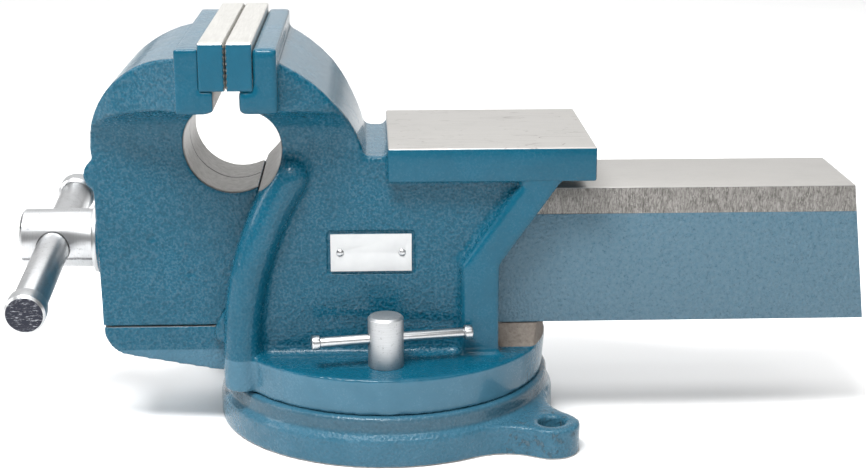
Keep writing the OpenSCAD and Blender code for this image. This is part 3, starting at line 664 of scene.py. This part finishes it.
def refined(bm, chosen, cuts):
    """Divides the chosen faces so that small relief can be pressed into them."""
    edges = {e for face in bm.faces if chosen(face.calc_center_median(), face.normal)
             for e in face.edges}
    bmesh.ops.subdivide_edges(bm, edges=list(edges), cuts=cuts, use_grid_fill=True)
    bm.normal_update()


def rounded_box_distance(across, up, half_w, half_h, radius):
    """Distance from the edge of a rounded rectangle; it is below 0 inside."""
    dx = max(abs(across) - half_w + radius, 0)
    dy = max(abs(up) - half_h + radius, 0)
    inner = min(max(abs(across) - half_w + radius, abs(up) - half_h + radius), 0)
    return math.hypot(dx, dy) + inner - radius


def smooth_ramp(value, low, high):
    share = min(max((value - low) / (high - low), 0), 1)
    return share * share * (3 - 2 * share)


def bevelled(bm, edges, width, segments):
    bmesh.ops.bevel(bm, geom=edges, offset=width, offset_type="OFFSET", segments=segments,
                    profile=0.5, affect="EDGES", material=-1, clamp_overlap=True)


def finish_casting(piece, bm):
    """Writes the bmesh back, all smooth."""
    for face in bm.faces:
        face.smooth = True
    bmesh.ops.triangulate(bm, faces=[f for f in bm.faces if len(f.verts) > 4])
    bm.to_mesh(piece.data)
    bm.free()
    piece.data.update()


# ---------------------------------------------------------------- operators

class VISE_OT_castings(bpy.types.Operator):
    """Makes the swivel base, the body and the moving jaw with its slide"""

    bl_idname = "vise.castings"
    bl_label = "Castings"

    def execute(self, context):
        settings = context.scene.vise_castings
        self.base(settings)
        self.body(settings)
        self.moving_jaw(settings)
        return {"FINISHED"}

    def base(self, settings):
        def wave_at(co, normal):
            return CAST_WAVE if co.z > 1 * MM else 0

        piece, bm = cast_skin("swivel_base", "base_casting", settings, wave_at)
        finish_casting(piece, bm)
        settle(piece, "swivel_base", base_finish(settings))

    def body(self, settings):
        label = (label_low + label_high) / 2
        half_w = (label_high.x - label_low.x) / 2
        half_h = (label_high.z - label_low.z) / 2

        def wave_at(co, normal):
            if co.z > ANVIL_TOP - 1 * MM or abs(co.y) < SLIDE_Y + 1 * MM and co.z > 58 * MM:
                return 0
            if abs(co.x - label.x) < half_w + 4 * MM and abs(co.z - label.z) < half_h + 4 * MM:
                return 0
            chin = co.x < -88 * MM and co.z < 60 * MM
            return NOSE_WAVE if chin else CAST_WAVE

        def near_label(co, normal):
            return (normal.y < -0.9 and co.y < -PANEL_Y + 1 * MM
                    and abs(co.x - label.x) < half_w + 5 * MM
                    and abs(co.z - label.z) < half_h + 5 * MM)

        piece, bm = cast_skin("vise_body", "body_casting", settings, wave_at)
        refined(bm, near_label, 3)
        for vert in bm.verts:
            if not near_label(vert.co, vert.normal):
                continue
            out = rounded_box_distance(vert.co.x - label.x, vert.co.z - label.z,
                                       half_w, half_h, 0.5 * MM)
            rim = smooth_ramp(out, 2.2 * MM, 1.5 * MM)
            pad = smooth_ramp(out, 0.0, -0.5 * MM)
            vert.co.y += 0.9 * MM * rim * (1 - pad)
        self.sink_below_anvil(bm)
        finish_casting(piece, bm)
        material = body_finish(settings)
        settle(piece, "vise_body", material)
        self.anvil(material)

    def sink_below_anvil(self, bm):
        """Draws the casting in a little where the crisp anvil block covers it."""
        for vert in bm.verts:
            co = vert.co
            if co.x > ANVIL_X - 1 * MM and co.z > ANVIL_TOP - ANVIL_T - 0.5 * MM:
                clear = co.z > ANVIL_TOP - 4.5 * MM or abs(co.y) > PANEL_Y + 3 * MM
                if clear:
                    co.x = max(co.x, ANVIL_X + HIDE)
                if co.x > PANEL_Y:
                    co.x = min(co.x, ANVIL_END - HIDE)
                co.y = min(max(co.y, HIDE - ANVIL_Y), ANVIL_Y - HIDE)
                co.z = min(co.z, ANVIL_TOP - HIDE)
                if abs(co.y) > PANEL_Y + 10 * MM or co.x > ANVIL_END - 12 * MM:
                    co.z = max(co.z, ANVIL_TOP - ANVIL_T + HIDE)

    def anvil(self, material):
        """The anvil's block with its machined top and narrow, even edges."""
        bm = bmesh.new()
        size = Vector((ANVIL_END - ANVIL_X, 2 * ANVIL_Y, ANVIL_T))
        middle = Vector(((ANVIL_END + ANVIL_X) / 2, 0, ANVIL_TOP - ANVIL_T / 2))
        bmesh.ops.create_cube(bm, size=1, matrix=Matrix.LocRotScale(middle, None, size))
        bevelled(bm, bm.edges[:], 1.1 * MM, 4)
        piece = new_piece("anvil_block", bm)
        piece.data.materials.append(material)
        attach(piece, BODY_OF["vise_body"])

    def moving_jaw(self, settings):
        pocks = [(Vector((-124 * MM, 0, 108 * MM)), 3.2 * MM, 0.55 * MM),
                 (Vector((-104 * MM, 0, 88 * MM)), 2.6 * MM, 0.45 * MM)]

        def wave_at(co, normal):
            if co.x > -66 * MM and co.z > 118 * MM:
                return 0
            return CAST_WAVE

        def near_pock(co, normal):
            return normal.y < -0.9 and any(
                math.hypot(co.x - at.x, co.z - at.z) < r * 1.6 for at, r, _ in pocks)

        piece, bm = cast_skin("moving_jaw", "front_jaw_casting", settings, wave_at,
                              SLIDE_X + 8 * MM)
        for vert in bm.verts:
            co = vert.co
            if co.x > SLIDE_X + 0.2 * MM and co.z < SLIDE_TOP + 1.2 * MM:
                sink = HIDE * smooth_ramp(co.x, SLIDE_X, SLIDE_X + 1 * MM)
                co.y = min(max(co.y, sink - SLIDE_Y), SLIDE_Y - sink)
                co.z = min(max(co.z, SLIDE_LOW + sink), SLIDE_TOP - sink)
        refined(bm, near_pock, 2)
        for vert in bm.verts:
            if near_pock(vert.co, vert.normal):
                for at, radius, depth in pocks:
                    away = math.hypot(vert.co.x - at.x, vert.co.z - at.z)
                    vert.co.y += depth * smooth_ramp(away, radius, radius * 0.3)
        finish_casting(piece, bm)
        material = jaw_finish(settings)
        settle(piece, "moving_jaw", material)
        self.slide(material)

    def slide(self, material):
        """The slide behind the jaw, with its crisp machined edges."""
        bm = merged("moving_jaw")
        bmesh.ops.bisect_plane(bm, geom=[*bm.verts, *bm.edges, *bm.faces],
                               plane_co=(SLIDE_X, 0, 0), plane_no=(-1, 0, 0), clear_outer=True)
        rim = [e for e in bm.edges if e.is_boundary]
        bmesh.ops.holes_fill(bm, edges=rim, sides=0)
        bmesh.ops.dissolve_limit(bm, angle_limit=FLAT, verts=bm.verts, edges=bm.edges,
                                 use_dissolve_boundaries=False)
        edges = [e for e in bm.edges if e.calc_face_angle(0) > CORNER
                 and max(v.co.x for v in e.verts) > SLIDE_X + 1 * MM]
        bevelled(bm, edges, 0.45 * MM, 2)
        piece = new_piece("slide", bm)
        without_old_normals(piece.data)
        piece.data.materials.append(material)
        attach(piece, BODY_OF["moving_jaw"])


class VISE_OT_jaw_plates(bpy.types.Operator):
    """Makes the two jaw plates with their knurled faces"""

    bl_idname = "vise.jaw_plates"
    bl_label = "Jaw plates"

    def execute(self, context):
        settings = context.scene.vise_steel
        material = ground_finish()
        for node, face_x in (("fixed_jaw_plate", plate_low.x),
                             ("moving_jaw_plate", front_plate_high.x)):
            piece = self.plate(node, face_x, settings)
            settle(piece, node, material)
        dress(["fixed_plate_screws", "moving_plate_screws"],
              iron_finish("blackened_screws", (0.05, 0.05, 0.052), (0.12, 0.12, 0.125), 0.35))
        return {"FINISHED"}

    def plate(self, node, face_x, settings):
        bm = merged(node)
        piece = new_piece(node + "_knurled", bm)
        without_old_normals(piece.data)
        skin = piece.modifiers.new("Skin", "REMESH")
        skin.mode = "VOXEL"
        skin.voxel_size = 0.62 * MM
        soft = piece.modifiers.new("Soft edges", "SMOOTH")
        soft.factor = 0.5
        soft.iterations = 3
        applied(piece)
        bm = bmesh.new()
        bm.from_mesh(piece.data)
        inward = 1 if node == "fixed_jaw_plate" else -1
        low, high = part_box(node)
        for vert in bm.verts:
            sunk = abs(vert.co.x - face_x)
            if sunk < 1.0 * MM:
                left = (vert.co.y + vert.co.z) / settings.knurl % 1
                right = (vert.co.y - vert.co.z) / settings.knurl % 1
                groove = max(abs(left - 0.5), abs(right - 0.5)) * 2
                press = settings.knurl_depth * smooth_ramp(groove, 0.35, 1.0)
                vert.co.x += inward * press * smooth_ramp(sunk, 1.0 * MM, 0.4 * MM)
            for axis in range(3):
                vert.co[axis] = min(max(vert.co[axis], low[axis]), high[axis])
        finish_casting(piece, bm)
        return piece


class VISE_OT_spindle(bpy.types.Operator):
    """Makes the spindle with its drilled head and its thread, its washer and collar"""

    bl_idname = "vise.spindle"
    bl_label = "Spindle"

    def execute(self, context):
        settings = context.scene.vise_steel
        split_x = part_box("spindle_collar")[1].x + 6 * MM
        # The head's bright zinc carries painted reflections: dark streaks along its sides.
        bright = zinc_finish("bright_spindle", settings, (1, 0, 0), streak=0.8, painted_reflections=True)
        self.head(split_x, bright)
        self.thread(settings, split_x)
        washer = eased("thrust_washer", "thrust_washer_eased", settings.edge)
        settle(washer, "thrust_washer",
               zinc_finish("washer_zinc", settings, (1, 0, 0)))
        collar = eased("spindle_collar", "spindle_collar_eased", settings.edge)
        settle(collar, "spindle_collar",
               iron_finish("collar_steel", (0.16, 0.155, 0.15), (0.34, 0.33, 0.32), 0.35))
        dress(["collar_pin"],
              iron_finish("pin_steel", (0.18, 0.17, 0.16), (0.36, 0.35, 0.33), 0.3))
        dress(["spindle_nut"],
              iron_finish("nut_iron", (0.12, 0.105, 0.09), (0.24, 0.21, 0.18), 0.55, 0.6))
        dress(["nut_screws"],
              iron_finish("nut_screw_steel", (0.07, 0.07, 0.072), (0.15, 0.15, 0.155), 0.35))
        return {"FINISHED"}

    def head(self, split_x, material):
        bm = merged("spindle")
        bmesh.ops.dissolve_limit(bm, angle_limit=FLAT, verts=bm.verts, edges=bm.edges,
                                 use_dissolve_boundaries=False)
        bmesh.ops.bisect_plane(bm, geom=[*bm.verts, *bm.edges, *bm.faces],
                               plane_co=(split_x, 0, 0), plane_no=(1, 0, 0), clear_outer=True)
        rim = [e for e in bm.edges if e.is_boundary]
        bmesh.ops.holes_fill(bm, edges=rim, sides=0)
        edges = [e for e in bm.edges if e.calc_face_angle(0) > CORNER
                 and max(v.co.x for v in e.verts) < split_x - 1 * MM]
        bevelled(bm, edges, 0.5 * MM, 3)
        piece = new_piece("spindle_head", bm)
        without_old_normals(piece.data)
        settle(piece, "spindle", material)

    def thread(self, settings, start_x):
        end_x = spindle_high.x
        rings = round((end_x - start_x) / (settings.pitch / 10))
        step = (end_x - start_x) / rings
        bm = bmesh.new()
        places = [(start_x, 0)] + [(start_x + i * step, SPINDLE_R) for i in range(rings + 1)]
        places.append((end_x, 0))
        verts = [bm.verts.new((x, 0, SPINDLE_Z + r)) for x, r in places]
        edges = [bm.edges.new(pair) for pair in zip(verts, verts[1:])]
        bmesh.ops.spin(bm, geom=verts + edges, cent=(0, 0, SPINDLE_Z), axis=(1, 0, 0),
                       angle=math.tau, steps=36, use_merge=True)
        bmesh.ops.remove_doubles(bm, verts=bm.verts, dist=1e-6)
        bmesh.ops.recalc_face_normals(bm, faces=bm.faces)
        for vert in bm.verts:
            up, side = vert.co.z - SPINDLE_Z, vert.co.y
            reach = math.hypot(up, side)
            if reach < 1 * MM:
                continue
            turn = math.atan2(side, up) / math.tau
            phase = (vert.co.x / settings.pitch + turn) % 1
            groove = smooth_ramp(abs(phase - 0.5) * 2, 0.62, 0.28)
            runout = smooth_ramp(vert.co.x, start_x + 1 * MM, start_x + 9 * MM)
            taper = smooth_ramp(vert.co.x, end_x - 3 * MM, end_x) * 2.6 * MM
            depth = min(max(settings.thread_depth * groove * runout, taper), 3 * MM)
            share = (reach - depth) / reach
            vert.co.z = SPINDLE_Z + up * share
            vert.co.y = side * share
        piece = new_piece("spindle_thread", bm, 50)
        piece.data.materials.append(
            iron_finish("greased_thread", (0.16, 0.155, 0.145), (0.42, 0.41, 0.39), 0.28, 0.95))
        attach(piece, BODY_OF["spindle"])


class VISE_OT_handle(bpy.types.Operator):
    """Makes the handle bar and its two caps"""

    bl_idname = "vise.handle"
    bl_label = "Handle"

    def execute(self, context):
        settings = context.scene.vise_steel
        bar = eased("handle_bar", "handle_bar_eased", settings.edge)
        settle(bar, "handle_bar",
               zinc_finish("handle_zinc", settings, tuple(HANDLE_AXIS), streak=0.7))
        low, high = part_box("handle_bar")
        centre = (low + high) / 2
        ends = []
        for node in ("handle_cap_near", "handle_cap_far"):
            far = max((v.co - centre).dot(HANDLE_AXIS) * (1 if node.endswith("far") else -1)
                      for v in NODES[node].data.vertices)
            ends.append(far)
        material = zinc_finish("cap_zinc", settings, tuple(HANDLE_AXIS), centre,
                               min(ends) - 0.25 * MM, 0.3)
        for node in ("handle_cap_near", "handle_cap_far"):
            cap = eased(node, node + "_eased", 0.5 * MM, 3)
            settle(cap, node, material)
        return {"FINISHED"}


class VISE_OT_locks(bpy.types.Operator):
    """Makes the swivel's lock bolts with their cross bars, and its pivot"""

    bl_idname = "vise.locks"
    bl_label = "Swivel locks"

    def execute(self, context):
        settings = context.scene.vise_steel
        bolt = zinc_finish("lock_bolt_zinc", settings, (0, 0, 1), streak=0.3, satin=0.16)
        for side, turn in (("near", 1), ("far", -1)):
            axis = (CROSS_AXIS_X, CROSS_AXIS_Y * turn, 0)
            bar_zinc = zinc_finish("cross_bar_zinc_" + side, settings, axis)
            head = eased("lock_bolt_" + side, f"lock_bolt_{side}_eased", 0.7 * MM, 3)
            settle(head, "lock_bolt_" + side, bolt)
            bar = eased("lock_bar_" + side, f"lock_bar_{side}_eased", 0.25 * MM)
            settle(bar, "lock_bar_" + side, bar_zinc)
            caps = eased("lock_bar_caps_" + side, f"lock_bar_caps_{side}_eased", 0.3 * MM)
            settle(caps, "lock_bar_caps_" + side, bar_zinc)
        dark = iron_finish("pivot_steel", (0.10, 0.10, 0.10), (0.26, 0.26, 0.25), 0.32)
        dress(["pivot_bolt", "pivot_washer", "pivot_nut"], dark)
        dress(["tee_nut_near", "tee_nut_far"],
              iron_finish("tee_nut_steel", (0.11, 0.10, 0.09), (0.24, 0.22, 0.20), 0.45))
        return {"FINISHED"}


class VISE_OT_label(bpy.types.Operator):
    """Makes the blank name plate and its rivets"""

    bl_idname = "vise.label"
    bl_label = "Name plate"

    def execute(self, context):
        settings = context.scene.vise_steel
        plate = eased("label_plate", "label_plate_eased", 0.18 * MM)
        settle(plate, "label_plate", label_finish())
        rivets = eased("label_rivets", "label_rivets_eased", 0.08 * MM)
        settle(rivets, "label_rivets",
               zinc_finish("rivet_zinc", settings, (0, 1, 0)))
        return {"FINISHED"}


class VISE_OT_stage(bpy.types.Operator):
    """Sets the floor, the lights and the camera"""

    bl_idname = "vise.stage"
    bl_label = "Stage"

    def execute(self, context):
        settings = context.scene.vise_stage
        self.floor(settings)
        self.lamps(context, settings)
        self.camera(context, settings)
        context.scene.view_settings.view_transform = "Standard"
        return {"FINISHED"}

    def floor(self, settings):
        bm = bmesh.new()
        bmesh.ops.create_grid(bm, x_segments=1, y_segments=1, size=9)
        piece = new_piece("floor", bm)
        f = Finish("floor_paper")
        cloud = f.noise(0.4, 3)
        piece.data.materials.append(f.shade(
            base_color=f.mix(cloud, tint(settings.floor, 0.99), tint(settings.floor, 1.0)),
            roughness=0.9 - cloud * 0.05, specular_ior_level=0.1))

    def lamps(self, context, settings):
        world = bpy.data.worlds.new("studio")
        world.use_nodes = True
        back = world.node_tree.nodes["Background"]
        back.inputs["Color"].default_value = (1, 1, 1, 1)
        back.inputs["Strength"].default_value = settings.sky
        context.scene.world = world
        for name, (at, size, share) in LAMPS.items():
            light = bpy.data.lights.new(name, "AREA")
            light.shape = "RECTANGLE"
            light.size, light.size_y = size
            light.energy = settings.key * share
            lamp = bpy.data.objects.new(name, light)
            lamp.location = at
            lamp.rotation_euler = (LAMP_AIM - Vector(at)).to_track_quat("-Z", "Y").to_euler()
            context.scene.collection.objects.link(lamp)

    def camera(self, context, settings):
        data = bpy.data.cameras.new("camera")
        data.sensor_width = 36
        data.lens = settings.lens
        camera = bpy.data.objects.new("camera", data)
        camera.location = CAMERA_AT
        camera.rotation_euler = tuple(math.radians(a) for a in CAMERA_TURN)
        context.scene.collection.objects.link(camera)
        context.scene.camera = camera


STEPS = (VISE_OT_castings, VISE_OT_jaw_plates, VISE_OT_spindle, VISE_OT_handle,
         VISE_OT_locks, VISE_OT_label, VISE_OT_stage)
SETTINGS = {"vise_castings": ViseCastingSettings, "vise_steel": ViseSteelSettings,
            "vise_stage": ViseStageSettings}


class VISE_PT_panel(bpy.types.Panel):
    """Lists the vise's sizes and colours and the operators that make it"""

    bl_idname = "VISE_PT_panel"
    bl_label = "Bench vise"
    bl_space_type = "VIEW_3D"
    bl_region_type = "UI"
    bl_category = "Vise"

    def draw(self, context):
        for name, kind in SETTINGS.items():
            group = getattr(context.scene, name)
            box = self.layout.box()
            for key in kind.__annotations__:
                box.prop(group, key)
        for step in STEPS:
            self.layout.operator(step.bl_idname)


def register():
    for kind in (*SETTINGS.values(), *STEPS, VISE_PT_panel):
        bpy.utils.register_class(kind)
    for name, kind in SETTINGS.items():
        setattr(bpy.types.Scene, name, PointerProperty(type=kind))


def unregister():
    for name in SETTINGS:
        delattr(bpy.types.Scene, name)
    for kind in (VISE_PT_panel, *reversed(STEPS), *reversed(SETTINGS.values())):
        bpy.utils.unregister_class(kind)


def main():
    register()
    for step in STEPS:
        group, action = step.bl_idname.split(".")
        getattr(getattr(bpy.ops, group), action)()


if __name__ == "__main__":
    main()
